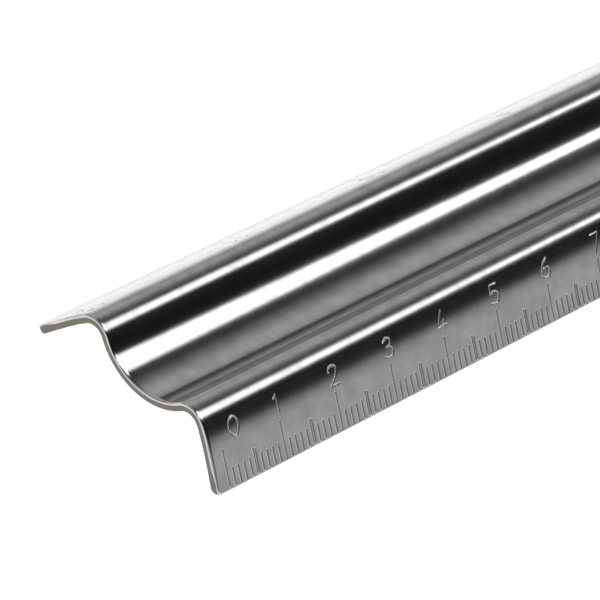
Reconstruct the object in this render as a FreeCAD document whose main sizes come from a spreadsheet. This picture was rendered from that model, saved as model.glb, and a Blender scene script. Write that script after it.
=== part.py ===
# A safety ruler, in millimetres: one strip of stainless steel sheet, formed to an M section.
# Two crests stand either side of a shallow groove that the fingers press into, and from each
# crest a flange slopes down to the work. The lower face of the metric flange has centimetres
# and millimetres cut into it, and the inch flange has inches and sixteenths.
#
# X runs along the ruler, Y across it with the metric flange at -Y, and Z is up. The origin is
# the middle of the surface that the ruler stands on. Both flange edges are cut square to the
# sheet, and stand on a narrow land at Z = 0.

import FreeCAD, Part
import math
import os

import Sketcher
from FreeCAD import Placement, Rotation, Vector

SIZES = (
    ("overall_length", 310.0, "from end to end"),
    ("sheet_thickness", 1.2, "of the steel strip"),
    ("crest_radius", 3.1, "outside of the bend at each crest"),
    ("crest_bend", 95.5, "degrees that the sheet turns over a crest"),
    ("trough_radius", 8.4, "top side of the finger groove"),
    ("trough_bend", 90.0, "degrees that the sheet turns in the groove"),
    ("web_flat", 0.2, "flat between the groove and each crest bend"),
    ("flange_flat", 8.25, "flat of each flange's face, from its bend to the rounding of its edge"),
    ("edge_radius", 0.25, "rounding between each flange's face and its square edge"),
    ("land_width", 0.3, "flat under each flange edge, that the ruler stands on"),
    ("land_radius", 0.15, "rounding on both sides of a land"),
    ("corner_radius", 1.1, "rounding of the four flange corners, seen from the side"),
    ("zero_inset", 2.0, "from an end of the ruler to the zero of its scale"),
    ("mark_width", 0.18, "of every line of both scales"),
    ("mark_depth", 0.06, "of every line of both scales"),
    ("edge_margin", 0.1, "between a flange's rounded edge and the foot of its lines"),
    ("metric_division", 1.0, "between two millimetre lines"),
    ("millimetre_mark", 2.4, "length of a millimetre line"),
    ("half_centimetre_mark", 3.3, "length of a half-centimetre line"),
    ("centimetre_mark", 4.9, "length of a centimetre line"),
    ("inch_division", 1.5875, "between two sixteenths of an inch"),
    ("sixteenth_mark", 2.4, "length of a sixteenth line"),
    ("eighth_mark", 3.0, "length of an eighth line"),
    ("quarter_mark", 3.6, "length of a quarter line"),
    ("half_inch_mark", 4.2, "length of a half-inch line"),
    ("inch_mark", 4.9, "length of an inch line"),
)

# How many divisions make one numbered step, and the line that each division inside it has.
METRIC_DIVISIONS = 10
INCH_DIVISIONS = 16
METRIC_LINES = {n: "half_centimetre_mark" if n == 5 else "millimetre_mark"
                for n in range(1, METRIC_DIVISIONS)}
INCH_LINES = {n: ("half_inch_mark" if n % 8 == 0 else "quarter_mark" if n % 4 == 0 else
                  "eighth_mark" if n % 2 == 0 else "sixteenth_mark")
              for n in range(1, INCH_DIVISIONS)}

START, END, CENTRE = 1, 2, 3
ORIGIN = (-1, 1)
X_AXIS, Y_AXIS = -1, -2
# A scale's sketch starts at this turn about X, and then takes the slope of its flange.
SKETCH_TURN = 45


def write_sizes(doc):
    """The driving dimensions, one row each: name, value, meaning."""
    sheet = doc.addObject("Spreadsheet::Sheet", "Sizes")
    for row, (name, value, meaning) in enumerate(SIZES, start=1):
        sheet.set(f"A{row}", name)
        sheet.set(f"B{row}", str(value))
        sheet.set(f"C{row}", meaning)
        sheet.setAlias(f"B{row}", name)
    doc.recompute()
    return sheet


def origin_plane(body, role):
    """The body's own XY_Plane, XZ_Plane, YZ_Plane or axis, by its role."""
    return next(item for item in body.Origin.OriginFeatures if item.Role == role)


def new_sketch(body, name, plane):
    sketch = body.newObject("Sketcher::SketchObject", name)
    sketch.AttachmentSupport = (origin_plane(body, plane), [""])
    sketch.MapMode = "FlatFace"
    return sketch


def bind(sketch, name, index, expression):
    """Names one constraint of the sketch and ties it to the sheet."""
    sketch.renameConstraint(index, name)
    sketch.setExpression(f"Constraints.{name}", expression)


def ring(middle, radius, angle):
    """The point of a circle at an angle in radians."""
    return middle + Vector(math.cos(angle), math.sin(angle), 0) * radius


class Outline:
    """A closed outline of lines and arcs in one sketch, each running smoothly into the next."""

    def __init__(self, sketch):
        self.sketch = sketch
        self.pieces = []

    def line(self, first, last):
        piece = self.sketch.addGeometry(Part.LineSegment(first, last), False)
        self.pieces.append((piece, START, END))
        return piece

    def arc(self, middle, radius, enter, leave):
        """From the angle enter to the angle leave: anticlockwise if leave is the larger."""
        circle = Part.Circle(middle, Vector(0, 0, 1), radius)
        low, high = min(enter, leave), max(enter, leave)
        piece = self.sketch.addGeometry(Part.ArcOfCircle(circle, low, high), False)
        self.pieces.append((piece, START, END) if leave > enter else (piece, END, START))
        return piece

    def join(self):
        following = self.pieces[1:] + self.pieces[:1]
        for (one, _, leaves), (other, enters, _) in zip(self.pieces, following):
            self.sketch.addConstraint(Sketcher.Constraint("Tangent", one, leaves, other, enters))


def section_points(size):
    """The centres of the inch half's bends and of its three roundings, and the sheet's slopes."""
    lean = math.radians(size.trough_bend / 2)
    slope = math.radians(size.crest_bend) - lean
    along = Vector(math.cos(lean), math.sin(lean), 0)
    normal = Vector(-math.sin(lean), math.cos(lean), 0)
    down = Vector(math.cos(slope), -math.sin(slope), 0)
    outward = Vector(math.sin(slope), math.cos(slope), 0)
    trough = Vector(0, size.trough_radius, 0)
    crest = trough - normal * (size.trough_radius + size.crest_radius) + along * size.web_flat
    edge = crest + outward * (size.crest_radius - size.edge_radius) + down * size.flange_flat
    corner = edge + down * size.edge_radius - outward * (size.sheet_thickness - size.edge_radius)
    toe_reach = size.land_radius * math.tan((math.pi / 2 - slope) / 2)
    heel_reach = size.land_radius * math.tan(slope / 2)
    land = toe_reach + size.land_width + heel_reach
    toe_corner = corner + outward * land * math.sin(slope)
    heel_corner = corner - down * land * math.cos(slope)
    toe = Vector(toe_corner.x - toe_reach, size.land_radius, 0)
    heel = Vector(heel_corner.x + heel_reach, size.land_radius, 0)
    lift = Vector(0, -toe_corner.y, 0)
    return trough + lift, crest + lift, edge + lift, toe, heel, slope, lean


def draw_section(body, size):
    """The M section on the YZ plane: along the top, round the inch edge and back underneath."""
    sketch = new_sketch(body, "section", "YZ_Plane")
    outline = Outline(sketch)
    points = section_points(size)
    groove_at, inch_crest_at, inch_edge_at, inch_toe_at, inch_heel_at, slope, lean = points
    metric_crest_at, metric_edge_at, metric_toe_at, metric_heel_at = [
        Vector(-point.x, point.y, 0) for point in points[1:5]]
    quarter = math.pi / 2
    full = 2 * math.pi
    crest, trough = size.crest_radius, size.trough_radius
    wall, edge, small = size.sheet_thickness, size.edge_radius, size.land_radius
    metric_out, inch_out = quarter + slope, quarter - slope
    metric_in, inch_in = quarter - lean, quarter + lean

    metric_face = outline.line(ring(metric_edge_at, edge, metric_out),
                               ring(metric_crest_at, crest, metric_out))
    metric_top = outline.arc(metric_crest_at, crest, metric_out, metric_in)
    metric_web = outline.line(ring(metric_crest_at, crest, metric_in),
                              ring(groove_at, trough, metric_in + math.pi))
    trough_top = outline.arc(groove_at, trough, metric_in + math.pi, inch_in + math.pi)
    inch_web = outline.line(ring(groove_at, trough, inch_in + math.pi),
                            ring(inch_crest_at, crest, inch_in))
    inch_top = outline.arc(inch_crest_at, crest, inch_in, inch_out)
    inch_face = outline.line(ring(inch_crest_at, crest, inch_out),
                             ring(inch_edge_at, edge, inch_out))
    inch_tip = outline.arc(inch_edge_at, edge, inch_out, -slope)
    inch_cut = outline.line(ring(inch_edge_at, edge, -slope), ring(inch_toe_at, small, -slope))
    inch_toe = outline.arc(inch_toe_at, small, -slope, -quarter)
    inch_land = outline.line(ring(inch_toe_at, small, -quarter), ring(inch_heel_at, small, -quarter))
    inch_heel = outline.arc(inch_heel_at, small, -quarter, inch_out - math.pi)
    inch_back = outline.line(ring(inch_heel_at, small, inch_out - math.pi),
                             ring(inch_crest_at, crest - wall, inch_out))
    inch_under = outline.arc(inch_crest_at, crest - wall, inch_out, inch_in)
    outline.line(ring(inch_crest_at, crest - wall, inch_in),
                 ring(groove_at, trough + wall, inch_in + math.pi))
    trough_under = outline.arc(groove_at, trough + wall, inch_in + math.pi, metric_in + math.pi)
    outline.line(ring(groove_at, trough + wall, metric_in + math.pi),
                 ring(metric_crest_at, crest - wall, metric_in))
    metric_under = outline.arc(metric_crest_at, crest - wall, metric_in, metric_out)
    metric_back = outline.line(ring(metric_crest_at, crest - wall, metric_out),
                               ring(metric_heel_at, small, metric_out + math.pi))
    metric_heel = outline.arc(metric_heel_at, small, metric_out + math.pi, full - quarter)
    metric_land = outline.line(ring(metric_heel_at, small, -quarter),
                               ring(metric_toe_at, small, -quarter))
    metric_toe = outline.arc(metric_toe_at, small, full - quarter, math.pi + slope)
    metric_cut = outline.line(ring(metric_toe_at, small, math.pi + slope),
                              ring(metric_edge_at, edge, math.pi + slope))
    metric_tip = outline.arc(metric_edge_at, edge, math.pi + slope, metric_out)
    outline.join()

    rule = lambda *words: sketch.addConstraint(Sketcher.Constraint(*words))
    for top, under in ((metric_top, metric_under), (trough_top, trough_under), (inch_top, inch_under)):
        rule("Coincident", top, CENTRE, under, CENTRE)
    for face, back, cut in ((metric_face, metric_back, metric_cut), (inch_face, inch_back, inch_cut)):
        rule("Parallel", face, back)
        rule("Perpendicular", face, cut)
    for land in (metric_land, inch_land):
        rule("PointOnObject", land, START, X_AXIS)
        rule("PointOnObject", land, END, X_AXIS)
    middle = sketch.addGeometry(Part.Point(Vector(0, inch_edge_at.y, 0)), True)
    rule("Symmetric", metric_tip, CENTRE, inch_tip, CENTRE, middle, START)
    rule("PointOnObject", middle, START, Y_AXIS)

    inside = "Sizes.crest_radius - Sizes.sheet_thickness"
    outside = "Sizes.trough_radius + Sizes.sheet_thickness"
    radii = (
        ("metric_crest_top", metric_top, crest, "Sizes.crest_radius"),
        ("inch_crest_top", inch_top, crest, "Sizes.crest_radius"),
        ("trough_top", trough_top, trough, "Sizes.trough_radius"),
        ("metric_crest_under", metric_under, crest - wall, inside),
        ("inch_crest_under", inch_under, crest - wall, inside),
        ("trough_under", trough_under, trough + wall, outside),
        ("metric_tip", metric_tip, edge, "Sizes.edge_radius"),
        ("inch_tip", inch_tip, edge, "Sizes.edge_radius"),
        ("metric_toe", metric_toe, small, "Sizes.land_radius"),
        ("inch_toe", inch_toe, small, "Sizes.land_radius"),
        ("metric_heel", metric_heel, small, "Sizes.land_radius"),
        ("inch_heel", inch_heel, small, "Sizes.land_radius"),
    )
    for name, piece, value, expression in radii:
        bind(sketch, name, rule("Radius", piece, value), expression)
    spans = (
        ("metric_crest_turn", metric_top, size.crest_bend, "Sizes.crest_bend * 1 deg"),
        ("inch_crest_turn", inch_top, size.crest_bend, "Sizes.crest_bend * 1 deg"),
        ("trough_turn", trough_top, size.trough_bend, "Sizes.trough_bend * 1 deg"),
    )
    for name, piece, value, expression in spans:
        bind(sketch, name, rule("Angle", piece, math.radians(value)), expression)
    flats = (
        ("metric_web", metric_web, size.web_flat, "Sizes.web_flat"),
        ("inch_web", inch_web, size.web_flat, "Sizes.web_flat"),
        ("metric_flat", metric_face, size.flange_flat, "Sizes.flange_flat"),
        ("inch_flat", inch_face, size.flange_flat, "Sizes.flange_flat"),
        ("metric_land", metric_land, size.land_width, "Sizes.land_width"),
        ("inch_land", inch_land, size.land_width, "Sizes.land_width"),
    )
    for name, piece, value, expression in flats:
        bind(sketch, name, rule("Distance", piece, value), expression)

    measure_flange(sketch, inch_face)
    body.Document.recompute()
    return sketch


def measure_flange(sketch, face):
    """Reference dimensions of the inch flange's face, which place and tilt both scales."""
    for name, kind, points in (
        ("foot_y", "DistanceX", (*ORIGIN, face, END)),
        ("foot_z", "DistanceY", (*ORIGIN, face, END)),
        ("run", "DistanceX", (face, START, face, END)),
        ("rise", "DistanceY", (face, END, face, START)),
    ):
        index = sketch.addConstraint(Sketcher.Constraint(kind, *points, 1.0))
        sketch.setDriving(index, False)
        sketch.renameConstraint(index, name)


def pad_section(body, section):
    pad = body.newObject("PartDesign::Pad", "formed_strip")
    pad.Profile = section
    pad.SideType = "Symmetric"
    pad.setExpression("Length", "Sizes.overall_length")
    body.Document.recompute()
    return pad


def round_corners(body, size):
    """Rounds the lower corner of both flanges at the +X end, and mirrors the cut to the other end."""
    sketch = new_sketch(body, "corner_outline", "XZ_Plane")
    half, radius = size.overall_length / 2, size.corner_radius
    inner, outer = half - radius, half + radius
    corner = Part.Circle(Vector(inner, radius, 0), Vector(0, 0, 1), radius)
    arc = sketch.addGeometry(Part.ArcOfCircle(corner, -math.pi / 2, 0), False)
    stops = [Vector(half, radius, 0), Vector(outer, radius, 0), Vector(outer, -radius, 0),
             Vector(inner, -radius, 0), Vector(inner, 0, 0)]
    top, side, bottom, back = [sketch.addGeometry(Part.LineSegment(first, last), False)
                               for first, last in zip(stops, stops[1:])]
    rule = lambda *words: sketch.addConstraint(Sketcher.Constraint(*words))
    rule("Coincident", arc, END, top, START)
    rule("Coincident", top, END, side, START)
    rule("Coincident", side, END, bottom, START)
    rule("Coincident", bottom, END, back, START)
    rule("Coincident", back, END, arc, START)
    for line in (top, bottom):
        rule("Horizontal", line)
    for line in (side, back):
        rule("Vertical", line)
    rule("Vertical", arc, START, arc, CENTRE)
    rule("Horizontal", arc, END, arc, CENTRE)
    bind(sketch, "radius", rule("Radius", arc, radius), "Sizes.corner_radius")
    bind(sketch, "centre_height", rule("DistanceY", *ORIGIN, arc, CENTRE, radius),
         "Sizes.corner_radius")
    bind(sketch, "centre_place", rule("DistanceX", *ORIGIN, arc, CENTRE, inner),
         "Sizes.overall_length / 2 - Sizes.corner_radius")
    bind(sketch, "past_the_end", rule("DistanceX", *ORIGIN, side, START, outer),
         "Sizes.overall_length / 2 + Sizes.corner_radius")
    bind(sketch, "below_the_edge", rule("DistanceY", bottom, START, *ORIGIN, radius),
         "Sizes.corner_radius")

    pocket = body.newObject("PartDesign::Pocket", "corner_cut")
    pocket.Profile = sketch
    pocket.Type = "ThroughAll"
    pocket.SideType = "Symmetric"
    body.Document.recompute()
    mirrored = body.newObject("PartDesign::Mirrored", "corner_cuts")
    mirrored.Originals = [pocket]
    mirrored.MirrorPlane = (origin_plane(body, "YZ_Plane"), [""])
    body.Tip = mirrored
    body.Document.recompute()


class Scale:
    """One flange's scale: its zero is near one end, and its lines stand on the flange edge."""

    def __init__(self, side, divisions, lines, step_line):
        self.side = side
        self.inward = side == "metric"
        self.division = f"{side}_division"
        self.lines = lines
        self.step_line = step_line
        self.step = f"{divisions} * Sizes.{self.division}"
        self.steps = f"floor((Sizes.overall_length - 2 * Sizes.zero_inset) / ({self.step}))"

    def sketch(self, body, name):
        """A sketch on the flange's outer face, its X along the ruler and its origin at the zero line.

        The metric zero is at the -X end and the inch zero at the +X end, so that each scale reads
        from left to right to someone whose own side of the ruler it is.
        """
        sketch = new_sketch(body, name, "XY_Plane")
        sketch.AttachmentOffset = Placement(Vector(), Rotation(Vector(1, 0, 0), SKETCH_TURN))
        sign = "-" if self.inward else ""
        slope = "atan2(section.Constraints.rise; section.Constraints.run)"
        sketch.setExpression("AttachmentOffset.Base.x",
                             f"{sign}(Sizes.overall_length / 2 - Sizes.zero_inset)")
        sketch.setExpression("AttachmentOffset.Base.y", f"{sign}section.Constraints.foot_y")
        sketch.setExpression("AttachmentOffset.Base.z", "section.Constraints.foot_z")
        sketch.setExpression("AttachmentOffset.Rotation.Angle",
                             slope if self.inward else f"-({slope})")
        return sketch

    def line(self, sketch, name, number, length):
        """One line of the scale, a rectangle from just inside the flange edge toward the crest."""
        size = sketch.Document.Sizes
        side = 1 if self.inward else -1
        spread = getattr(size, self.division) * number * side
        half, long, margin = size.mark_width / 2, getattr(size, length), size.edge_margin
        low, high = sorted((margin * side, long * side))
        corners = [Vector(spread - half, low, 0), Vector(spread + half, low, 0),
                   Vector(spread + half, high, 0), Vector(spread - half, high, 0)]
        bottom, right, top, left = [
            sketch.addGeometry(Part.LineSegment(first, last), False)
            for first, last in zip(corners, corners[1:] + corners[:1])]
        rule = lambda *words: sketch.addConstraint(Sketcher.Constraint(*words))
        for one, other in ((bottom, right), (right, top), (top, left), (left, bottom)):
            rule("Coincident", one, END, other, START)
        rule("Horizontal", bottom)
        rule("Horizontal", top)
        rule("Vertical", right)
        rule("Vertical", left)
        bind(sketch, f"{name}_width", rule("DistanceX", bottom, START, bottom, END, 2 * half),
             "Sizes.mark_width")
        if self.inward:
            foot, head = (*ORIGIN, bottom, START), (*ORIGIN, top, START)
        else:
            foot, head = (top, START, *ORIGIN), (bottom, START, *ORIGIN)
        bind(sketch, f"{name}_foot", rule("DistanceY", *foot, margin), "Sizes.edge_margin")
        bind(sketch, f"{name}_head", rule("DistanceY", *head, long), f"Sizes.{length}")
        if number == 0:
            points, place = (bottom, START, *ORIGIN), "Sizes.mark_width / 2"
        else:
            points = (*ORIGIN, bottom, START) if self.inward else (bottom, END, *ORIGIN)
            place = f"{number} * Sizes.{self.division} - Sizes.mark_width / 2"
        bind(sketch, f"{name}_place", rule("DistanceX", *points, abs(abs(spread) - half)), place)

    def cut(self, body, sketch, name, count):
        """Sinks a sketch's lines into the flange and repeats them, one numbered step apart."""
        pocket = body.newObject("PartDesign::Pocket", f"{name}_cut")
        pocket.Profile = sketch
        pocket.Refine = False
        pocket.setExpression("Length", "Sizes.mark_depth")
        body.Document.recompute()
        pattern = body.newObject("PartDesign::LinearPattern", name)
        pattern.Originals = [pocket]
        pattern.Direction = (origin_plane(body, "X_Axis"), [""])
        pattern.Reversed = not self.inward
        pattern.Mode = "Spacing"
        pattern.Refine = False
        pattern.setExpression("Offset", self.step)
        pattern.setExpression("Occurrences", count)
        body.Tip = pattern
        body.Document.recompute()

    def engrave_steps(self, body):
        """The long line at every number, the last one included."""
        sketch = self.sketch(body, f"{self.side}_step_line")
        self.line(sketch, "step", 0, self.step_line)
        body.Document.recompute()
        self.cut(body, sketch, f"{self.side}_step_lines", f"{self.steps} + 1")

    def engrave_divisions(self, body):
        """The lines between one number and the next."""
        sketch = self.sketch(body, f"{self.side}_division_line")
        for number, length in self.lines.items():
            self.line(sketch, f"line_{number}", number, length)
        body.Document.recompute()
        self.cut(body, sketch, f"{self.side}_division_lines", self.steps)


def build():
    doc = FreeCAD.newDocument("safety_ruler")
    size = write_sizes(doc)
    body = doc.addObject("PartDesign::Body", "ruler_sheet")
    body.Label = "ruler_sheet"
    section = draw_section(body, size)
    pad_section(body, section)
    round_corners(body, size)
    scales = (Scale("metric", METRIC_DIVISIONS, METRIC_LINES, "centimetre_mark"),
              Scale("inch", INCH_DIVISIONS, INCH_LINES, "inch_mark"))
    for scale in scales:
        scale.engrave_steps(body)
    for scale in scales:
        scale.engrave_divisions(body)
    return doc, [body]


def check(doc, parts):
    for item in doc.Objects:
        broken = {"Invalid", "Error"} & set(item.State)
        if broken:
            raise RuntimeError(f"{item.Name} is {sorted(broken)}")
    for part in parts:
        if part.Shape.isNull() or not part.Shape.isValid() or len(part.Shape.Solids) != 1:
            raise RuntimeError(f"{part.Label} isn't one valid solid")


def main():
    doc, parts = build()
    check(doc, parts)
    os.makedirs("parts", exist_ok=True)
    for part in parts:
        part.Shape.exportStep(f"parts/{part.Label}.step")
        box = part.Shape.BoundBox
        print(f"{part.Label}: {box.XLength:.2f} x {box.YLength:.2f} x {box.ZLength:.2f} mm, "
              f"lowest point {box.ZMin:.3f}, {part.Shape.Volume:.0f} mm3, {len(part.Shape.Faces)} faces")


main()
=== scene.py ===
# %% [markdown]
# # A formed steel safety ruler
#
# The ruler is one strip of stainless steel that a press or a row of rolls has
# formed to an M: a sloping flange with the metric scale, a crest, a shallow
# groove for the fingers, a second crest and a sloping flange with the inch scale.
# It is polished, so what the eye reads is mostly the studio in it: bands of light
# and dark that run along the bends. So this lesson spends its care on two things,
# a surface whose normals are exact, and a studio that is laid out in bands.
#
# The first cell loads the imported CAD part, whose box no detail may leave.

import math

import bpy
from mathutils import Matrix, Vector
from mathutils.geometry import delaunay_2d_cdt


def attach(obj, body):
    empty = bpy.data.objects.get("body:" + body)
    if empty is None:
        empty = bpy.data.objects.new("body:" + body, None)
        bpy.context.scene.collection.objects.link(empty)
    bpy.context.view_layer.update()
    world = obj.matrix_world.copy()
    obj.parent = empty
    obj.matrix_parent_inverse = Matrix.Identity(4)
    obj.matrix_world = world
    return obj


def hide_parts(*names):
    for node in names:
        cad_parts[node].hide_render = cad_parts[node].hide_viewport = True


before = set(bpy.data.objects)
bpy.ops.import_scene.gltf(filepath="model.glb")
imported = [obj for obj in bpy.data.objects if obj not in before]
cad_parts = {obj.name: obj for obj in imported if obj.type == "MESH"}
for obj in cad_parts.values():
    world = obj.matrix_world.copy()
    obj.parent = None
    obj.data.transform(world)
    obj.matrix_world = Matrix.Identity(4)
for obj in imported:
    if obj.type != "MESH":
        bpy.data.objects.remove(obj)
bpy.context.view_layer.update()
print("nodes:", ", ".join(sorted(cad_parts)))

# %% [markdown]
# ## The section
#
# The real strip keeps one thickness all the way round, so its section is an
# outside line and a second line one thickness below it. Blender could extrude a
# curve object, but a curve gives no control over the normals, and on polished
# steel a normal that is wrong by one degree moves a reflection by two. So the
# line is made as points that carry their own normals: arcs for the bends, and
# for each flange a Bezier curve, because a formed flange rolls gently out of its
# bend and isn't dead flat.
#
# Sizes are in millimetres, and those of the next cell are the CAD source's own.

# %% Sizes of the section, in millimetres, of which each is 0.001 m
MM = 0.001
LENGTH = 310.0
SHEET = 1.2
CREST_RADIUS = 3.1
GROOVE_RADIUS = 8.4
WEB_FLAT = 0.2
FLANGE_FLAT = 8.25
FOOT_RADIUS = 0.25
LAND_WIDTH = 0.3
LAND_RADIUS = 0.15
LEAN = math.radians(45.0)
SLOPE = math.radians(50.5)


def facing(angle):
    """A direction across the ruler: 0 is straight up, and positive leans to the inch side."""
    return Vector((math.sin(angle), math.cos(angle)))


print("section:", SHEET, "mm sheet, flanges at", round(math.degrees(SLOPE), 1), "degrees to the table")

# %% Place the centres of the bends
down_slope = Vector((math.cos(SLOPE), -math.sin(SLOPE)))
groove_centre = Vector((0.0, GROOVE_RADIUS))
web_run = WEB_FLAT * Vector((math.cos(LEAN), math.sin(LEAN)))
crest_centre = groove_centre - (GROOVE_RADIUS + CREST_RADIUS) * facing(-LEAN) + web_run
foot_centre = crest_centre + (CREST_RADIUS - FOOT_RADIUS) * facing(SLOPE) + FLANGE_FLAT * down_slope

# The edge is cut square to the sheet, and a narrow land takes off its lower corner.
# Each end of the land is rounded: the toe outside and the heel inside.
corner = foot_centre + FOOT_RADIUS * down_slope - (SHEET - FOOT_RADIUS) * facing(SLOPE)
toe_reach = LAND_RADIUS * math.tan((0.5 * math.pi - SLOPE) / 2)
heel_reach = LAND_RADIUS * math.tan(SLOPE / 2)
land = toe_reach + LAND_WIDTH + heel_reach
toe_centre = corner + land * math.sin(SLOPE) * facing(SLOPE) + Vector((-toe_reach, LAND_RADIUS))
heel_centre = corner - land * math.cos(SLOPE) * down_slope + Vector((heel_reach, LAND_RADIUS))

# So far the groove's bottom is at zero. Now everything is lifted onto the table.
rise = Vector((0.0, LAND_RADIUS - toe_centre.y))
groove_centre, crest_centre, foot_centre, toe_centre, heel_centre = [
    centre + rise for centre in (groove_centre, crest_centre, foot_centre, toe_centre, heel_centre)]
print("groove bottom at z", round(groove_centre.y - GROOVE_RADIUS, 2))
print("crest top at z", round(crest_centre.y + CREST_RADIUS, 2))

# %% The flange's curve, from its bend to its foot
ROLL = math.radians(5.0)
FOOT_TURN = math.radians(0.6)
ROLL_HANDLE = 2.4
FOOT_HANDLE = 4.6
FLANGE_STEPS = 14


def flange_curve():
    """Points of a flange with their normals: most of the turn comes within 2 mm of the bend."""
    start = crest_centre + CREST_RADIUS * facing(SLOPE - ROLL)
    end = foot_centre + FOOT_RADIUS * facing(SLOPE)
    leave = Vector((math.cos(SLOPE - ROLL), -math.sin(SLOPE - ROLL)))
    arrive = Vector((math.cos(SLOPE + FOOT_TURN), -math.sin(SLOPE + FOOT_TURN)))
    a, b, c, d = start, start + ROLL_HANDLE * leave, end - FOOT_HANDLE * arrive, end
    points = []
    for step in range(FLANGE_STEPS + 1):
        t = step / FLANGE_STEPS
        u = 1.0 - t
        place = u**3 * a + 3 * u * u * t * b + 3 * u * t * t * c + t**3 * d
        run = u * u * (b - a) + 2 * u * t * (c - b) + t * t * (d - c)
        run.normalize()
        points.append((place, Vector((-run.y, run.x))))
    return points


flange = flange_curve()
turned = [round(math.degrees(angle), 1) for angle in (SLOPE - ROLL, SLOPE + FOOT_TURN)]
print("the flange turns from", turned[0], "to", turned[1], "degrees")

# %% [markdown]
# ## Half of the outline
#
# The M is symmetric, so one half of its outline is listed, from the middle of the
# groove over the crest, down the inch flange, round its square edge and back along
# the underside. The other half is its mirror image. Each point also says how far
# the strip's cut end is rounded there: the polished side was deburred with a wide
# soft radius, the underside with a smaller one, and the thin edges hardly at all.

# %% The bends of the upper side and of the edge
CREST_STEPS = 30
GROOVE_STEPS = 22
FOOT_STEPS = 5


def arc(centre, radius, start, end, steps):
    """Points round a bend with their normals, from one facing angle to another.

    The steel of the groove faces its centre, so its radius is given as negative.
    """
    angles = [start + (end - start) * step / steps for step in range(steps + 1)]
    return [(centre + radius * facing(angle), facing(angle)) for angle in angles]


over_groove = arc(groove_centre, -GROOVE_RADIUS, 0.0, -LEAN, GROOVE_STEPS)
over_crest = arc(crest_centre, CREST_RADIUS, -LEAN, SLOPE - ROLL, CREST_STEPS)
round_foot = arc(foot_centre, FOOT_RADIUS, SLOPE, SLOPE + 0.5 * math.pi, FOOT_STEPS)
round_toe = arc(toe_centre, LAND_RADIUS, SLOPE + 0.5 * math.pi, math.pi, FOOT_STEPS)
round_heel = arc(heel_centre, LAND_RADIUS, math.pi, math.pi + SLOPE, FOOT_STEPS)
land_span = [round(2 * centre.x, 2) for centre in (heel_centre, toe_centre)]
print("the lands on both sides are", land_span[0], "to", land_span[1], "mm apart")

# %% Gather the half outline, with the way each point behaves at a cut end
SOFT_END = 0.4
UNDER_END = 0.3
EDGE_END = 0.13
LIFT_REACH = 4.0
EDGE_REACH = 2.5

half = []


def add_outline(points, end_radius, side=1.0):
    """Adds points to the half outline, each with its end rounding and its share of the corner's lift.

    The side is -1 on the underside, whose normals point down.
    """
    for place, normal in points:
        from_edge = min((place - centre).length for centre in (foot_centre, toe_centre, heel_centre))
        lift = max(0.0, 1.0 - max(0.0, from_edge - SHEET) / LIFT_REACH)
        share = min(1.0, max(0.0, from_edge - FOOT_RADIUS) / EDGE_REACH)
        half.append((place, side * normal, EDGE_END + share * (end_radius - EDGE_END), lift))


add_outline(over_groove, SOFT_END)
add_outline(over_crest, SOFT_END)
add_outline(flange[1:], SOFT_END)
add_outline(round_foot[1:], UNDER_END)
add_outline(round_toe, UNDER_END)
add_outline(round_heel, UNDER_END)
inner_flange = [(place - SHEET * normal, normal) for place, normal in reversed(flange)]
heel_top = round_heel[-1][0].y + FOOT_RADIUS
add_outline([point for point in inner_flange[:-1] if point[0].y > heel_top], UNDER_END, -1.0)
under_crest = arc(crest_centre, CREST_RADIUS - SHEET, SLOPE - ROLL, -LEAN, CREST_STEPS)
under_groove = arc(groove_centre, -GROOVE_RADIUS - SHEET, -LEAN, 0.0, GROOVE_STEPS)
add_outline(under_crest, UNDER_END, -1.0)
add_outline(under_groove, UNDER_END, -1.0)
print("half outline:", len(half), "points")


# %% Mirror it into the whole outline
def mirrored(point):
    """The same outline point on the metric side."""
    place, normal, end_radius, lift = point
    return Vector((-place.x, place.y)), Vector((-normal.x, normal.y)), end_radius, lift


outline = half + [mirrored(point) for point in reversed(half[1:-1])]
print("outline:", len(outline), "points")

# %% [markdown]
# ## Sweep the section along the ruler
#
# The outline is repeated at stations along X and joined by quads, as a loft does.
# Near the ends the stations crowd together, because there two roundings happen
# at once: the flange corners lift off the table in a quarter circle, and the cut
# edge of the strip draws in.

# %% Stations along the ruler
CORNER_RADIUS = 0.6
END_STEPS = 12
STATION_STEP = 10
LAST_STATION = 150
FACE_END = 153.6

corner_turns = [0.5 * math.pi * step / END_STEPS for step in range(END_STEPS + 1)]
end_stations = [LENGTH / 2 - CORNER_RADIUS * (1.0 - math.sin(turn)) for turn in corner_turns]
far_half = [float(x) for x in range(STATION_STEP, LAST_STATION + 1, STATION_STEP)]
far_half += [FACE_END] + end_stations
stations = [-x for x in reversed(far_half)] + [0.0] + far_half
print("stations:", len(stations), "from", stations[0], "to", stations[-1])


# %% The grid of points
def quarter(x, radius):
    """How far round a quarter circle of that radius the ruler's end has come at x."""
    return math.asin(max(0.0, min(1.0, (abs(x) - LENGTH / 2 + radius) / radius)))


def grid_point(x, point):
    """Place and normal of an outline point at a station.

    Near an end the flange's edge lifts along its slope, and the surface sinks along its normal.
    """
    place, normal, end_radius, lift = point
    side = math.copysign(1.0, place.x)
    corner = quarter(x, CORNER_RADIUS)
    turn = quarter(x, end_radius)
    up_slope = Vector((-side * down_slope.x, -down_slope.y))
    place = place + lift * CORNER_RADIUS * (1.0 - math.cos(corner)) / math.sin(SLOPE) * up_slope
    place = place - end_radius * (1.0 - math.cos(turn)) * normal
    edge_share = lift * max(0.0, -normal.dot(up_slope))
    tilt = max(turn, math.atan2(edge_share * math.sin(corner), math.sin(SLOPE) * math.cos(corner)))
    outward = math.copysign(math.sin(tilt), x)
    return Vector((x, place.x, place.y)), Vector((outward, *(math.cos(tilt) * normal)))


places, normals = [], []
for x in stations:
    for point in outline:
        place, normal = grid_point(x, point)
        places.append(place)
        normals.append(normal)
print("grid:", len(places), "points")

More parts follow.
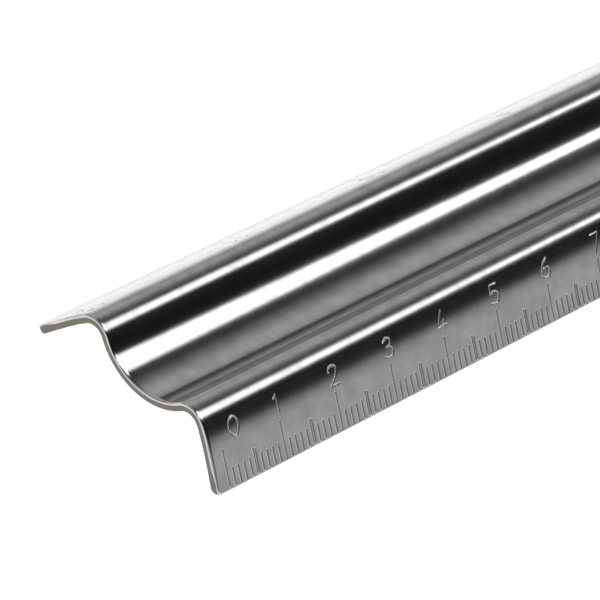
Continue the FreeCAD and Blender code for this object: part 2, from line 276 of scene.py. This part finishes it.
# %% [markdown]
# ## The figures
#
# The numbers on the real ruler are engraved with a single-line letter: a thin
# cutter follows the middle of each stroke. Blender's text object would give
# outlines of printed letters instead, so each figure is written here as the path
# of such a cutter, in a box one unit high. Curved paths are smoothed through
# their points.

# %% Paths of the cutter for the ten figures
FIGURES = {
    "0": [("ring", [(0.34, 1.0), (0.06, 0.74), (0.04, 0.3), (0.34, 0.0), (0.64, 0.3), (0.62, 0.74)])],
    "1": [("line", [(0.16, 0.8), (0.36, 1.0), (0.36, 0.0)])],
    "2": [
        ("curve", [(0.06, 0.76), (0.16, 0.95), (0.36, 1.0), (0.57, 0.92), (0.62, 0.72),
                   (0.46, 0.4), (0.05, 0.0)]),
        ("line", [(0.05, 0.0), (0.66, 0.0)]),
    ],
    "3": [
        ("curve", [(0.07, 0.86), (0.3, 1.0), (0.56, 0.9), (0.58, 0.7), (0.44, 0.57), (0.26, 0.54)]),
        ("curve", [(0.26, 0.54), (0.52, 0.47), (0.65, 0.28), (0.56, 0.07), (0.3, 0.0), (0.04, 0.13)]),
    ],
    "4": [("line", [(0.42, 1.0), (0.04, 0.24), (0.68, 0.24)]), ("line", [(0.48, 0.5), (0.48, 0.0)])],
    "5": [
        ("line", [(0.62, 1.0), (0.16, 1.0), (0.1, 0.56)]),
        ("curve", [(0.1, 0.56), (0.34, 0.64), (0.58, 0.53), (0.66, 0.3), (0.54, 0.08),
                   (0.3, 0.0), (0.04, 0.1)]),
    ],
    "6": [
        ("curve", [(0.54, 1.0), (0.26, 0.78), (0.07, 0.42), (0.1, 0.12), (0.34, 0.0), (0.6, 0.11),
                   (0.65, 0.32), (0.52, 0.52), (0.3, 0.54), (0.09, 0.36)]),
    ],
    "7": [("line", [(0.06, 1.0), (0.66, 1.0), (0.26, 0.0)])],
    "8": [
        ("ring", [(0.34, 0.54), (0.1, 0.68), (0.12, 0.9), (0.34, 1.0), (0.56, 0.9), (0.58, 0.68)]),
        ("ring", [(0.34, 0.54), (0.05, 0.38), (0.07, 0.1), (0.34, 0.0), (0.61, 0.1), (0.63, 0.38)]),
    ],
    "9": [
        ("curve", [(0.14, 0.0), (0.42, 0.22), (0.61, 0.58), (0.58, 0.88), (0.34, 1.0), (0.08, 0.89),
                   (0.03, 0.68), (0.16, 0.48), (0.38, 0.46), (0.59, 0.64)]),
    ],
}
print("figures:", " ".join(FIGURES))

# %% Smooth a curved path
CURVE_STEPS = 5


def smoothed(points, ring):
    """A Catmull-Rom path through the points, closed for a ring."""
    ends = [points[-1], *points, *points[:2]] if ring else [points[0], *points, points[-1]]
    knots = [Vector(point) for point in ends]
    path = []
    for a, b, c, d in zip(knots, knots[1:], knots[2:], knots[3:]):
        for step in range(CURVE_STEPS):
            t = step / CURVE_STEPS
            bend = (2 * a - 5 * b + 4 * c - d) * t * t + (3 * b - a - 3 * c + d) * t**3
            path.append(0.5 * (2 * b + (c - a) * t + bend))
    path.append(knots[-2])
    return path


print("a smoothed 0 has", len(smoothed(FIGURES["0"][0][1], True)), "points")

# %% [markdown]
# ## The lines and numbers of both scales
#
# A stroke is only a path and a width. The metric flange has a line each
# millimetre: short ones, taller ones that were struck twice at each half
# centimetre, and a fine tall one at each centimetre with a dot where the cutter
# stopped. The inch flange counts in sixteenths with five heights of line.
# A flange is drawn flat, with the distance along the ruler to the right and the
# distance up from the foot upwards. The inch flange is read from the other
# side, so its zero is at the other end.

# %% Sizes of the lines
ZERO_INSET = 2.0
LINE_FOOT = 0.1
LINE_WIDTH = 0.35
FINE_WIDTH = 0.28
DOT_WIDTH = 0.34
DOT_LENGTH = 0.05
DOUBLE_GAP = 0.16
MILLIMETRE, HALF_CENTIMETRE, CENTIMETRE = 2.35, 3.3, 4.85
INCH = 25.4
INCH_PARTS = 16
INCH_HEIGHTS = ((16, 4.85), (8, 4.1), (4, 3.5), (2, 2.9), (1, 2.35))


def upright(x, height, width):
    """One line of a scale, from just above the foot."""
    return [Vector((x, LINE_FOOT)), Vector((x, height))], width


def dot(x, height):
    """The small pit where the cutter stopped."""
    return [Vector((x, height - DOT_LENGTH)), Vector((x, height))], DOT_WIDTH


zero = ZERO_INSET - LENGTH / 2
print("each scale's zero is", ZERO_INSET, "mm from its end of the ruler")

# %% Write a number
FIGURE_WIDTH = 0.34
FIGURE_FOOT = 5.65
FIGURE_HEIGHT = 2.45
FIGURE_MIDDLE = 0.24
FIGURE_PITCH = 0.82
ZERO_SHIFT = 2.4


def number(value, x):
    """The strokes of a number on its line at x. The zero stands beside its line, on the ruler."""
    text = str(value)
    x += 0.0 if value else ZERO_SHIFT
    strokes = []
    for place, figure in enumerate(text):
        shift = (place - (len(text) - 1) / 2) * FIGURE_PITCH - FIGURE_MIDDLE
        corner = Vector((x + shift * FIGURE_HEIGHT, FIGURE_FOOT))
        for kind, points in FIGURES[figure]:
            straight = [Vector(point) for point in points]
            path = straight if kind == "line" else smoothed(points, kind == "ring")
            strokes.append(([corner + FIGURE_HEIGHT * point for point in path], FIGURE_WIDTH))
    return strokes


print("the number 30 takes", len(number(30, 0.0)), "strokes")

# %% List the strokes of both scales
METRIC_COUNT = 300
INCH_COUNT = 12

metric_strokes = []
for count in range(METRIC_COUNT + 1):
    x = zero + count
    if count % 10 == 0:
        metric_strokes += [upright(x, CENTIMETRE, FINE_WIDTH), dot(x, CENTIMETRE)]
        metric_strokes += number(count // 10, x)
    elif count % 5 == 0:
        metric_strokes.append(upright(x - DOUBLE_GAP, HALF_CENTIMETRE, LINE_WIDTH))
        metric_strokes.append(upright(x + DOUBLE_GAP, HALF_CENTIMETRE - DOUBLE_GAP, LINE_WIDTH))
    else:
        metric_strokes.append(upright(x, MILLIMETRE, LINE_WIDTH))

inch_strokes = []
for count in range(INCH_COUNT * INCH_PARTS + 1):
    x = zero + count * INCH / INCH_PARTS
    height = next(tall for step, tall in INCH_HEIGHTS if count % step == 0)
    inch_strokes.append(upright(x, height, LINE_WIDTH))
    if count % INCH_PARTS == 0:
        inch_strokes.append(dot(x, height))
        inch_strokes += number(count // INCH_PARTS, x)
print("strokes:", len(metric_strokes), "metric and", len(inch_strokes), "inch")

# %% [markdown]
# ## Cut the strokes into the flanges
#
# A boolean with hundreds of thin cutters is slow and leaves ragged meshes, and a
# bump map would leave the steel flat where it should have an edge. So each flange
# face is triangulated anew with every stroke's edges and middle line as fixed
# edges (a constrained Delaunay triangulation), and the middle lines are then
# pushed in. That gives true V grooves, like those of an engraver's cutter.

# %% Outline a stroke
def stroke_loop(path, width):
    """The stroke's outer edge: both sides of its path and a pointed cap at each end."""
    runs = [(b - a).normalized() for a, b in zip(path, path[1:])]
    tangents = [runs[0], *[(a + b).normalized() for a, b in zip(runs, runs[1:])], runs[-1]]
    aside = [0.5 * width * Vector((-run.y, run.x)) for run in tangents]
    left = [point + side for point, side in zip(path, aside)]
    right = [point - side for point, side in zip(path, aside)]
    start = path[0] - 0.5 * width * runs[0]
    end = path[-1] + 0.5 * width * runs[-1]
    return [start, *left, end, *reversed(right)]


print("outlines:", sum(len(stroke_loop(*stroke)) for stroke in metric_strokes), "metric points")

# %% Measure how deep the cutter goes
V_DEPTH = 0.34
V_HALF = 0.49
SEARCH_CELL = 1.0


def segment_cells(strokes):
    """The strokes' segments, sorted by the square millimetres that they cross."""
    cells = {}
    for path, width in strokes:
        for a, b in zip(path, path[1:]):
            low = [math.floor((min(p, q) - width) / SEARCH_CELL) for p, q in zip(a, b)]
            high = [math.floor((max(p, q) + width) / SEARCH_CELL) for p, q in zip(a, b)]
            for column in range(low[0], high[0] + 1):
                for row in range(low[1], high[1] + 1):
                    cells.setdefault((column, row), []).append((a, b, width))
    return cells


def depth_at(point, cells):
    """How deep the cutter goes at a point of the flange.

    The V starts a hair inside the stroke's outline, so that the outline stays on the steel.
    """
    deepest = 0.0
    cell = math.floor(point.x / SEARCH_CELL), math.floor(point.y / SEARCH_CELL)
    for a, b, width in cells.get(cell, ()):
        run = b - a
        along = max(0.0, min(1.0, (point - a).dot(run) / run.length_squared))
        off = (point - a - along * run).length
        deepest = max(deepest, V_DEPTH * (V_HALF * width - off))
    return deepest


print("a line is", round(V_DEPTH * V_HALF * LINE_WIDTH, 3), "mm deep")

# %% Draw a flange face flat
FACE_CREST_STEPS = 7

ring = len(outline)
foot_row = GROOVE_STEPS + 1 + CREST_STEPS + FLANGE_STEPS
face_rows = range(foot_row, foot_row - FLANGE_STEPS - FACE_CREST_STEPS - 1, -1)
face_columns = [column for column, x in enumerate(stations) if abs(x) <= FACE_END]


def flat_drawing(strokes, rows, heights, sign):
    """The points of a flange face, the edges to keep, and the mesh numbers of its grid points.

    The sign is -1 on the metric side and 1 on the inch side.
    """
    flat, edges, known = [], [], []
    for row, height in zip(rows, heights):
        for place, column in enumerate(face_columns[::-sign]):
            if place:
                edges.append((len(flat) - 1, len(flat)))
            flat.append(Vector((-sign * stations[column], height)))
            known.append(column * ring + row)
    for path, width in strokes:
        for line, closed in ((stroke_loop(path, width), True), (path, False)):
            first = len(flat)
            flat += line
            edges += [(first + step, first + step + 1) for step in range(len(line) - 1)]
            if closed:
                edges.append((len(flat) - 1, first))
    return flat, edges, known


print("a flange face has", len(face_rows), "rows and", len(face_columns), "columns of points")

# %% Triangulate it and push the cuts in
# Both limits are in millimetres, and far finer than anything that shows.
MERGE = 1e-5
SHALLOWEST = 1e-4


def add_flange_point(point, depth, rows, heights, sign):
    """Adds a point of the flat drawing to the mesh, as deep as the cutter goes, and numbers it."""
    band = next(index for index in range(len(rows) - 1) if point.y <= heights[index + 1] + MERGE)
    share = (point.y - heights[band]) / (heights[band + 1] - heights[band])
    low, high = outline[rows[band]], outline[rows[band + 1]]
    normal = low[1].lerp(high[1], share).normalized()
    place = low[0].lerp(high[0], share) - max(0.0, depth) * normal
    places.append(Vector((-sign * point.x, place.x, place.y)))
    normals.append(Vector((0.0, normal.x, normal.y)))
    return len(places) - 1


def cut_flange(strokes, sign):
    """Adds one flange's points, and returns its triangles and whether each belongs to a cut."""
    rows = [row if sign > 0 else ring - row for row in face_rows]
    heights = [0.0]
    for a, b in zip(rows, rows[1:]):
        heights.append(heights[-1] + (outline[b][0] - outline[a][0]).length)
    flat, edges, known = flat_drawing(strokes, rows, heights, sign)
    points, _, triangles, origins, _, _ = delaunay_2d_cdt(flat, edges, [], 0, MERGE)
    cells = segment_cells(strokes)
    depths = [depth_at(point, cells) for point in points]
    numbers = []
    for point, origin, depth in zip(points, origins, depths):
        on_grid = [known[index] for index in origin if index < len(known)]
        if on_grid and depth <= 0.0:
            numbers.append(on_grid[0])
        else:
            numbers.append(add_flange_point(point, depth, rows, heights, sign))
    cut_faces = []
    for triangle in triangles:
        middle = sum((points[index] for index in triangle), Vector((0.0, 0.0))) / 3
        deepest = max(depths[index] for index in triangle)
        in_cut = deepest > SHALLOWEST and depth_at(middle, cells) > 0.0
        cut_faces.append(([numbers[index] for index in triangle], in_cut))
    return cut_faces


flange_faces = cut_flange(metric_strokes, -1) + cut_flange(inch_strokes, 1)
print("flange faces:", len(flange_faces))

# %% [markdown]
# ## Put the mesh together
#
# Three finishes meet on the one strip: polished steel, the cut V grooves, and the
# sawn ends. The sawn look goes on over the rounded rim of the flange edges and of
# the underside, where nobody polishes. They are three material slots of one mesh,
# because they are one piece of metal. The normals are given corner by corner:
# exact ones on the polished steel, and flat ones on each side of a groove and at
# the sawn ends.

# %% The swept faces
POLISHED, CUT, SAWN = range(3)

# Below each rounded foot come the flange's edge, the land and the underside.
below_feet = range(foot_row + FOOT_STEPS, ring - foot_row - FOOT_STEPS)
end_columns = (*range(END_STEPS), *range(len(stations) - 1 - END_STEPS, len(stations) - 1))
inch_bands = range(face_rows[-1], face_rows[0])
face_bands = {*inch_bands, *(ring - 1 - band for band in inch_bands)}
faces, finishes = [], []
for column in range(len(stations) - 1):
    for band in range(ring):
        if column in face_columns[:-1] and band in face_bands:
            continue
        near, far = column * ring, (column + 1) * ring
        after = (band + 1) % ring
        faces.append([near + band, far + band, far + after, near + after])
        rim = band in below_feet and column in end_columns
        finishes.append(SAWN if rim else POLISHED)
print("swept faces:", len(faces), "and", finishes.count(SAWN), "of them at the rim")

# %% Join them with the flange faces and the sawn ends
for face, in_cut in flange_faces:
    faces.append(face)
    finishes.append(CUT if in_cut else POLISHED)
last = (len(stations) - 1) * ring
faces.append([last + row for row in range(ring)][::-1])
faces.append(list(range(ring)))
finishes += [SAWN, SAWN]
print("mesh:", len(faces), "faces,", finishes.count(CUT), "of them in the cuts")

# %% Make the mesh and give each corner its normal
mesh = bpy.data.meshes.new("formed_steel_ruler")
mesh.from_pydata([MM * place for place in places], [], faces)
corner_normals = []
for polygon, finish in zip(mesh.polygons, finishes):
    polygon.material_index = finish
    polygon.use_smooth = True
    if finish == POLISHED:
        corner_normals += [normals[index] for index in polygon.vertices]
    else:
        corner_normals += [polygon.normal.copy() for index in polygon.vertices]
mesh.normals_split_custom_set(corner_normals)
ruler = bpy.data.objects.new("formed_steel_ruler", mesh)
bpy.context.collection.objects.link(ruler)
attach(ruler, "root")
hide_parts("ruler_sheet")
print("the mesh has", len(mesh.vertices), "points and", len(mesh.polygons), "faces")

# %% [markdown]
# ## Materials
#
# Stainless steel is a metal, so all of its look is reflection: the colour sets
# how much comes back and the roughness how sharp it is. A metal keeps the
# shader's default IOR. The helpers come first: one turns a hex colour into a
# linear one, one adds a node with its settings and links, one starts a metal, and
# one turns a pattern's size in millimetres into a noise scale.

# %% Helpers for colours, nodes and metals
def linear(code):
    """A linear colour from an sRGB hex code."""
    parts = [int(code[start:start + 2], 16) / 255 for start in (1, 3, 5)]
    parts = [value / 12.92 if value <= 0.04045 else ((value + 0.055) / 1.055) ** 2.4 for value in parts]
    return (*parts, 1.0)


def add_node(tree, kind, settings=(), inputs=()):
    """Adds a node, sets its properties, and sets its inputs or links them to sockets."""
    node = tree.nodes.new(kind)
    for name, value in dict(settings).items():
        setattr(node, name, value)
    for name, value in dict(inputs).items():
        if isinstance(value, bpy.types.NodeSocket):
            tree.links.new(value, node.inputs[name])
        else:
            node.inputs[name].default_value = value
    return node


def metal(name, colour, roughness):
    """A new metal for the mesh's next slot: its node tree and its shader."""
    material = bpy.data.materials.new(name)
    material.use_nodes = True
    tree = material.node_tree
    shader = tree.nodes["Principled BSDF"]
    shader.inputs["Base Color"].default_value = linear(colour)
    shader.inputs["Metallic"].default_value = 1.0
    shader.inputs["Roughness"].default_value = roughness
    mesh.materials.append(material)
    return tree, shader


def per_metre(*sizes):
    """The noise scale that gives a pattern of those sizes in millimetres."""
    return tuple(1.0 / (MM * size) for size in sizes)


print("a pattern of 1 mm has the scale", round(per_metre(1.0)[0]))

# %% [markdown]
# ## Polished steel
#
# The strip was drawn through polished rolls, which leave hair-fine lines along
# it. They are too fine to model, so a noise that is stretched along X tilts the
# normals a little. Real drawing lines are a few hundredths of a millimetre wide.
# These are drawn at 0.22 mm, or the render wouldn't show them.

# %% Polished steel with drawing lines
STEEL = "#D0D0CF"
SMOOTH = 0.115
DRAWN_LENGTH = 60.0
DRAWN_WIDTH = 0.22
DRAWN_HEIGHT = 0.0006
DRAWN_DETAIL = 3.0

tree, shader = metal("polished_stainless_steel", STEEL, SMOOTH)
place = add_node(tree, "ShaderNodeTexCoord").outputs["Object"]
drawn = add_node(tree, "ShaderNodeMapping", {}, {
    "Vector": place, "Scale": per_metre(DRAWN_LENGTH, DRAWN_WIDTH, DRAWN_WIDTH)})
lines = add_node(tree, "ShaderNodeTexNoise", {}, {
    "Vector": drawn.outputs["Vector"], "Scale": 1.0, "Detail": DRAWN_DETAIL})
bump = add_node(tree, "ShaderNodeBump", {}, {
    "Height": lines.outputs["Fac"], "Strength": 1.0, "Distance": MM * DRAWN_HEIGHT})
tree.links.new(bump.outputs["Normal"], shader.inputs["Normal"])
print("drawing lines:", DRAWN_LENGTH, "by", DRAWN_WIDTH, "mm")

# %% [markdown]
# ## Smudges and rubbed crests
#
# A ruler is handled, and a finger leaves a film that takes a little light away in
# soft patches. A painted image could show that, but a noise with a real size is
# simpler and repeats nowhere. The film is faint, so the noise only mixes two
# greys that are close together.
#
# The crests are what a hand slides along and what rests on a bench when the ruler
# is turned over, so their polish is duller. The roughness therefore rises with
# the height above the table, and the highlights on the crests soften.

# %% Faint smudges from handling
SMUDGE = 2.6
SMUDGE_DETAIL = 5.0
SMUDGE_ROUGHNESS = 0.62
SMUDGE_TONES = ((0.35, "#C7C7C6"), (0.62, "#D9D9D8"))

film = add_node(tree, "ShaderNodeMapping", {}, {
    "Vector": place, "Scale": per_metre(SMUDGE, SMUDGE, SMUDGE)})
smudges = add_node(tree, "ShaderNodeTexNoise", {}, {
    "Vector": film.outputs["Vector"], "Scale": 1.0,
    "Detail": SMUDGE_DETAIL, "Roughness": SMUDGE_ROUGHNESS})
tones = add_node(tree, "ShaderNodeValToRGB", {}, {"Fac": smudges.outputs["Fac"]})
for stop, (position, colour) in zip(tones.color_ramp.elements, SMUDGE_TONES):
    stop.position = position
    stop.color = linear(colour)
tree.links.new(tones.outputs["Color"], shader.inputs["Base Color"])
print("smudges:", SMUDGE, "mm")

# %% Rubbed crests
RUBBED = 0.2
RUBBED_FROM = 6.8
RUBBED_FULL = 7.9

height = add_node(tree, "ShaderNodeSeparateXYZ", {}, {"Vector": place}).outputs["Z"]
rubbed = add_node(tree, "ShaderNodeMapRange", {"interpolation_type": "SMOOTHSTEP"}, {
    "Value": height, "From Min": MM * RUBBED_FROM, "From Max": MM * RUBBED_FULL,
    "To Min": SMOOTH, "To Max": RUBBED})
tree.links.new(rubbed.outputs[0], shader.inputs["Roughness"])
print("roughness:", SMOOTH, "below", RUBBED_FROM, "mm and", RUBBED, "above", RUBBED_FULL, "mm")

# %% [markdown]
# ## Cut steel
#
# The cutter leaves bright, slightly torn steel in its grooves, so they are as
# light as the sheet but rougher. The ends were sawn and only brushed over. Seen
# close they are darker and warmer than the polish, with a fine grain, which is a
# noise of 0.09 mm that tilts the normals.

# %% The cutter's grooves and the sawn ends
ENGRAVED_STEEL = "#CFCFCD"
ENGRAVED_ROUGHNESS = 0.27
SAWN_STEEL = "#7F7872"
SAWN_ROUGHNESS = 0.42
GRAIN = 0.09
GRAIN_HEIGHT = 0.004
GRAIN_DETAIL = 2.0

metal("engraved_steel", ENGRAVED_STEEL, ENGRAVED_ROUGHNESS)
tree, shader = metal("sawn_steel_end", SAWN_STEEL, SAWN_ROUGHNESS)
place = add_node(tree, "ShaderNodeTexCoord").outputs["Object"]
grain = add_node(tree, "ShaderNodeMapping", {}, {
    "Vector": place, "Scale": per_metre(GRAIN, GRAIN, GRAIN)})
saw = add_node(tree, "ShaderNodeTexNoise", {}, {
    "Vector": grain.outputs["Vector"], "Scale": 1.0, "Detail": GRAIN_DETAIL})
bump = add_node(tree, "ShaderNodeBump", {}, {
    "Height": saw.outputs["Fac"], "Strength": 1.0, "Distance": MM * GRAIN_HEIGHT})
tree.links.new(bump.outputs["Normal"], shader.inputs["Normal"])
print("materials:", ", ".join(material.name for material in mesh.materials))

# %% [markdown]
# ## The studio
#
# A photographer lights polished steel with what it reflects: a long softbox,
# black cards at its sides and grey walls. Area lights and planes could stand for
# them, but all of them run parallel to the ruler, so it is simpler to paint them
# on the world as bands, by their angle across the ruler: 0 is straight overhead
# and negative is towards the metric side. Each band is an angle and its light,
# and the light runs evenly from one to the next.

# %% Walls and cards, by their angle across the ruler
BANDS = [
    (-180, 0.4), (-90, 0.45), (-76, 0.49), (-73.3, 0.47), (-71.2, 0.33), (-67.6, 0.025),
    (-62, 0.012), (-20, 0.007), (-13, 0.04), (15, 0.05), (20, 0.08), (25, 0.13), (30, 0.18),
    (35, 0.25), (41, 0.33), (48, 0.4), (54, 0.43), (64, 0.43), (69, 0.38), (74, 0.33),
    (79, 0.35), (84, 0.48), (90, 0.6), (180, 0.6),
]

world = bpy.data.worlds.new("studio")
bpy.context.scene.world = world
world.use_nodes = True
tree = world.node_tree
tree.nodes.clear()
direction = add_node(tree, "ShaderNodeTexCoord").outputs["Generated"]
towards = add_node(tree, "ShaderNodeSeparateXYZ", {}, {"Vector": direction})
angle = add_node(tree, "ShaderNodeMath", {"operation": "ARCTAN2"}, {
    0: towards.outputs["Y"], 1: towards.outputs["Z"]})
turns = add_node(tree, "ShaderNodeMath", {"operation": "MULTIPLY_ADD"}, {
    0: angle.outputs[0], 1: 0.5 / math.pi, 2: 0.5})
ramp = add_node(tree, "ShaderNodeValToRGB", {}, {"Fac": turns.outputs[0]})
stops = ramp.color_ramp.elements
for index, (degrees, light) in enumerate(BANDS):
    stop = stops[index] if index < 2 else stops.new(1.0)
    stop.position = degrees / 360 + 0.5
    stop.color = (light, light, light, 1.0)
walls = add_node(tree, "ShaderNodeBackground", {}, {"Color": ramp.outputs["Color"], "Strength": 1.0})
print("bands:", len(BANDS))

# %% [markdown]
# ## The softbox
#
# The softbox is painted over the bands. Towards the ruler's ends it looks
# narrower, because the ends of a long box are farther away, so its half width
# falls with the share of the direction that points along X. Its border is soft
# over 3 degrees. Only the reflections see all this: for the camera a plain white
# backdrop takes its place, as it would on a cut-out product picture.

# %% A tapering softbox
SOFTBOX_LIGHT = 1.75
SOFTBOX_MIDDLE = math.radians(-13.05)
SOFTBOX_HALF = 1.542
SOFTBOX_TAPER = 1.980
SOFTBOX_LEAST = math.radians(8.0)
SOFTBOX_MOST = math.radians(17.0)
SOFTBOX_EDGE = math.radians(3.0)

along = add_node(tree, "ShaderNodeMath", {"operation": "ABSOLUTE"}, {0: towards.outputs["X"]})
half_width = add_node(tree, "ShaderNodeMath", {"operation": "MULTIPLY_ADD"}, {
    0: along.outputs[0], 1: -SOFTBOX_TAPER, 2: SOFTBOX_HALF})
narrowest = add_node(tree, "ShaderNodeMath", {"operation": "MAXIMUM"}, {
    0: half_width.outputs[0], 1: SOFTBOX_LEAST})
widest = add_node(tree, "ShaderNodeMath", {"operation": "MINIMUM"}, {
    0: narrowest.outputs[0], 1: SOFTBOX_MOST})
from_middle = add_node(tree, "ShaderNodeMath", {"operation": "SUBTRACT"}, {
    0: angle.outputs[0], 1: SOFTBOX_MIDDLE})
off = add_node(tree, "ShaderNodeMath", {"operation": "ABSOLUTE"}, {0: from_middle.outputs[0]})
inside = add_node(tree, "ShaderNodeMath", {"operation": "SUBTRACT"}, {
    0: widest.outputs[0], 1: off.outputs[0]})
share = add_node(tree, "ShaderNodeMath", {"operation": "MULTIPLY_ADD", "use_clamp": True}, {
    0: inside.outputs[0], 1: 1.0 / SOFTBOX_EDGE, 2: 0.5})
softbox = add_node(tree, "ShaderNodeBackground", {}, {
    "Color": linear("#FFFFFF"), "Strength": SOFTBOX_LIGHT})
lights = add_node(tree, "ShaderNodeMixShader", {}, {
    "Fac": share.outputs[0], 1: walls.outputs[0], 2: softbox.outputs[0]})
limits = [round(math.degrees(limit)) for limit in (SOFTBOX_LEAST, SOFTBOX_MOST)]
print("softbox half width:", limits[0], "to", limits[1], "degrees")

# %% The backdrop that the camera sees
backdrop = add_node(tree, "ShaderNodeBackground", {}, {"Color": linear("#FFFFFF"), "Strength": 1.0})
seen = add_node(tree, "ShaderNodeLightPath").outputs["Is Camera Ray"]
mixed = add_node(tree, "ShaderNodeMixShader", {}, {
    "Fac": seen, 1: lights.outputs[0], 2: backdrop.outputs[0]})
add_node(tree, "ShaderNodeOutputWorld", {}, {"Surface": mixed.outputs[0]})
print("world nodes:", len(tree.nodes))

# %% [markdown]
# ## The floor
#
# The floor is a white sheet that glows. Its emission is painted light that stands in for a lamp below
# it, so the ruler has hardly a shadow.
# What the camera sees of it is plain white. What the steel mirrors of it is
# dimmer, and it fades further with the distance from the ruler's middle line.
# This is a painted pool of light, which grades the far flange as a lit patch of table does.
# Its own colour is a grey, because the glow adds the rest. All of it is staging.

# %% A floor that glows
FLOOR_REACH = 6.0
SHEET_GREY = "#A0A0A0"
SHEET_ROUGHNESS = 0.9

floor_mesh = bpy.data.meshes.new("white_floor")
corners = [(x * FLOOR_REACH, y * FLOOR_REACH, 0) for x, y in ((-1, -1), (1, -1), (1, 1), (-1, 1))]
floor_mesh.from_pydata(corners, [], [(0, 1, 2, 3)])
floor = bpy.data.objects.new("white_floor", floor_mesh)
bpy.context.collection.objects.link(floor)
sheet_white = bpy.data.materials.new("white_sheet")
sheet_white.use_nodes = True
floor_mesh.materials.append(sheet_white)
tree = sheet_white.node_tree
shader = tree.nodes["Principled BSDF"]
shader.inputs["Base Color"].default_value = linear(SHEET_GREY)
shader.inputs["Roughness"].default_value = SHEET_ROUGHNESS
shader.inputs["Specular IOR Level"].default_value = 0.0
shader.inputs["Emission Color"].default_value = linear("#FFFFFF")
print("floor:", 2 * FLOOR_REACH, "m wide")

# %% Grade its glow
NEAR_GLOW = 0.84
FAR_GLOW = 0.53
NEAR_REACH = 16.0
FAR_REACH = 52.0
SEEN_GLOW = 0.92

place = add_node(tree, "ShaderNodeTexCoord").outputs["Object"]
spot = add_node(tree, "ShaderNodeSeparateXYZ", {}, {"Vector": place})
aside = add_node(tree, "ShaderNodeMath", {"operation": "ABSOLUTE"}, {0: spot.outputs["Y"]})
# A painted pool of light: the mirrored glow is brightest beside the ruler and fades away from it.
lit = add_node(tree, "ShaderNodeMapRange", {"interpolation_type": "SMOOTHSTEP"}, {
    "Value": aside.outputs[0], "From Min": MM * NEAR_REACH, "From Max": MM * FAR_REACH,
    "To Min": NEAR_GLOW, "To Max": FAR_GLOW})
seen = add_node(tree, "ShaderNodeLightPath").outputs["Is Camera Ray"]
glow = add_node(tree, "ShaderNodeMix", {"data_type": "FLOAT"}, {
    0: seen, 2: lit.outputs[0], 3: SEEN_GLOW})
tree.links.new(glow.outputs[0], shader.inputs["Emission Strength"])
print("the glow falls from", NEAR_GLOW, "to", FAR_GLOW, "by", FAR_REACH, "mm from the middle")

# %% [markdown]
# ## The camera
#
# The photograph was taken from beyond the metric scale's zero, from the metric
# side and from above, with a long lens. The camera's place and lens were fitted
# to the scale's lines and to the edges of the section. Its right and up axes are
# written out, and the third follows from them.

# %% The camera
CAMERA_PLACE = (-532.610, -230.628, 391.272)
CAMERA_RIGHT = (0.666771, -0.685669, 0.292017)
CAMERA_UP = (0.325239, 0.620267, 0.713785)
LENS = 299.396
SENSOR = 36.0
NEAREST = 0.05
FARTHEST = 50.0

camera = bpy.data.objects.new("camera", bpy.data.cameras.new("camera"))
bpy.context.collection.objects.link(camera)
right, up = Vector(CAMERA_RIGHT), Vector(CAMERA_UP)
turn = Matrix((right, up, right.cross(up))).transposed().to_4x4()
camera.matrix_world = Matrix.Translation(MM * Vector(CAMERA_PLACE)) @ turn
camera.data.lens = LENS
camera.data.sensor_width = SENSOR
camera.data.clip_start = NEAREST
camera.data.clip_end = FARTHEST
bpy.context.scene.camera = camera
bpy.context.scene.view_settings.view_transform = "Standard"
print("camera:", round(Vector(CAMERA_PLACE).length), "mm from the ruler's middle")
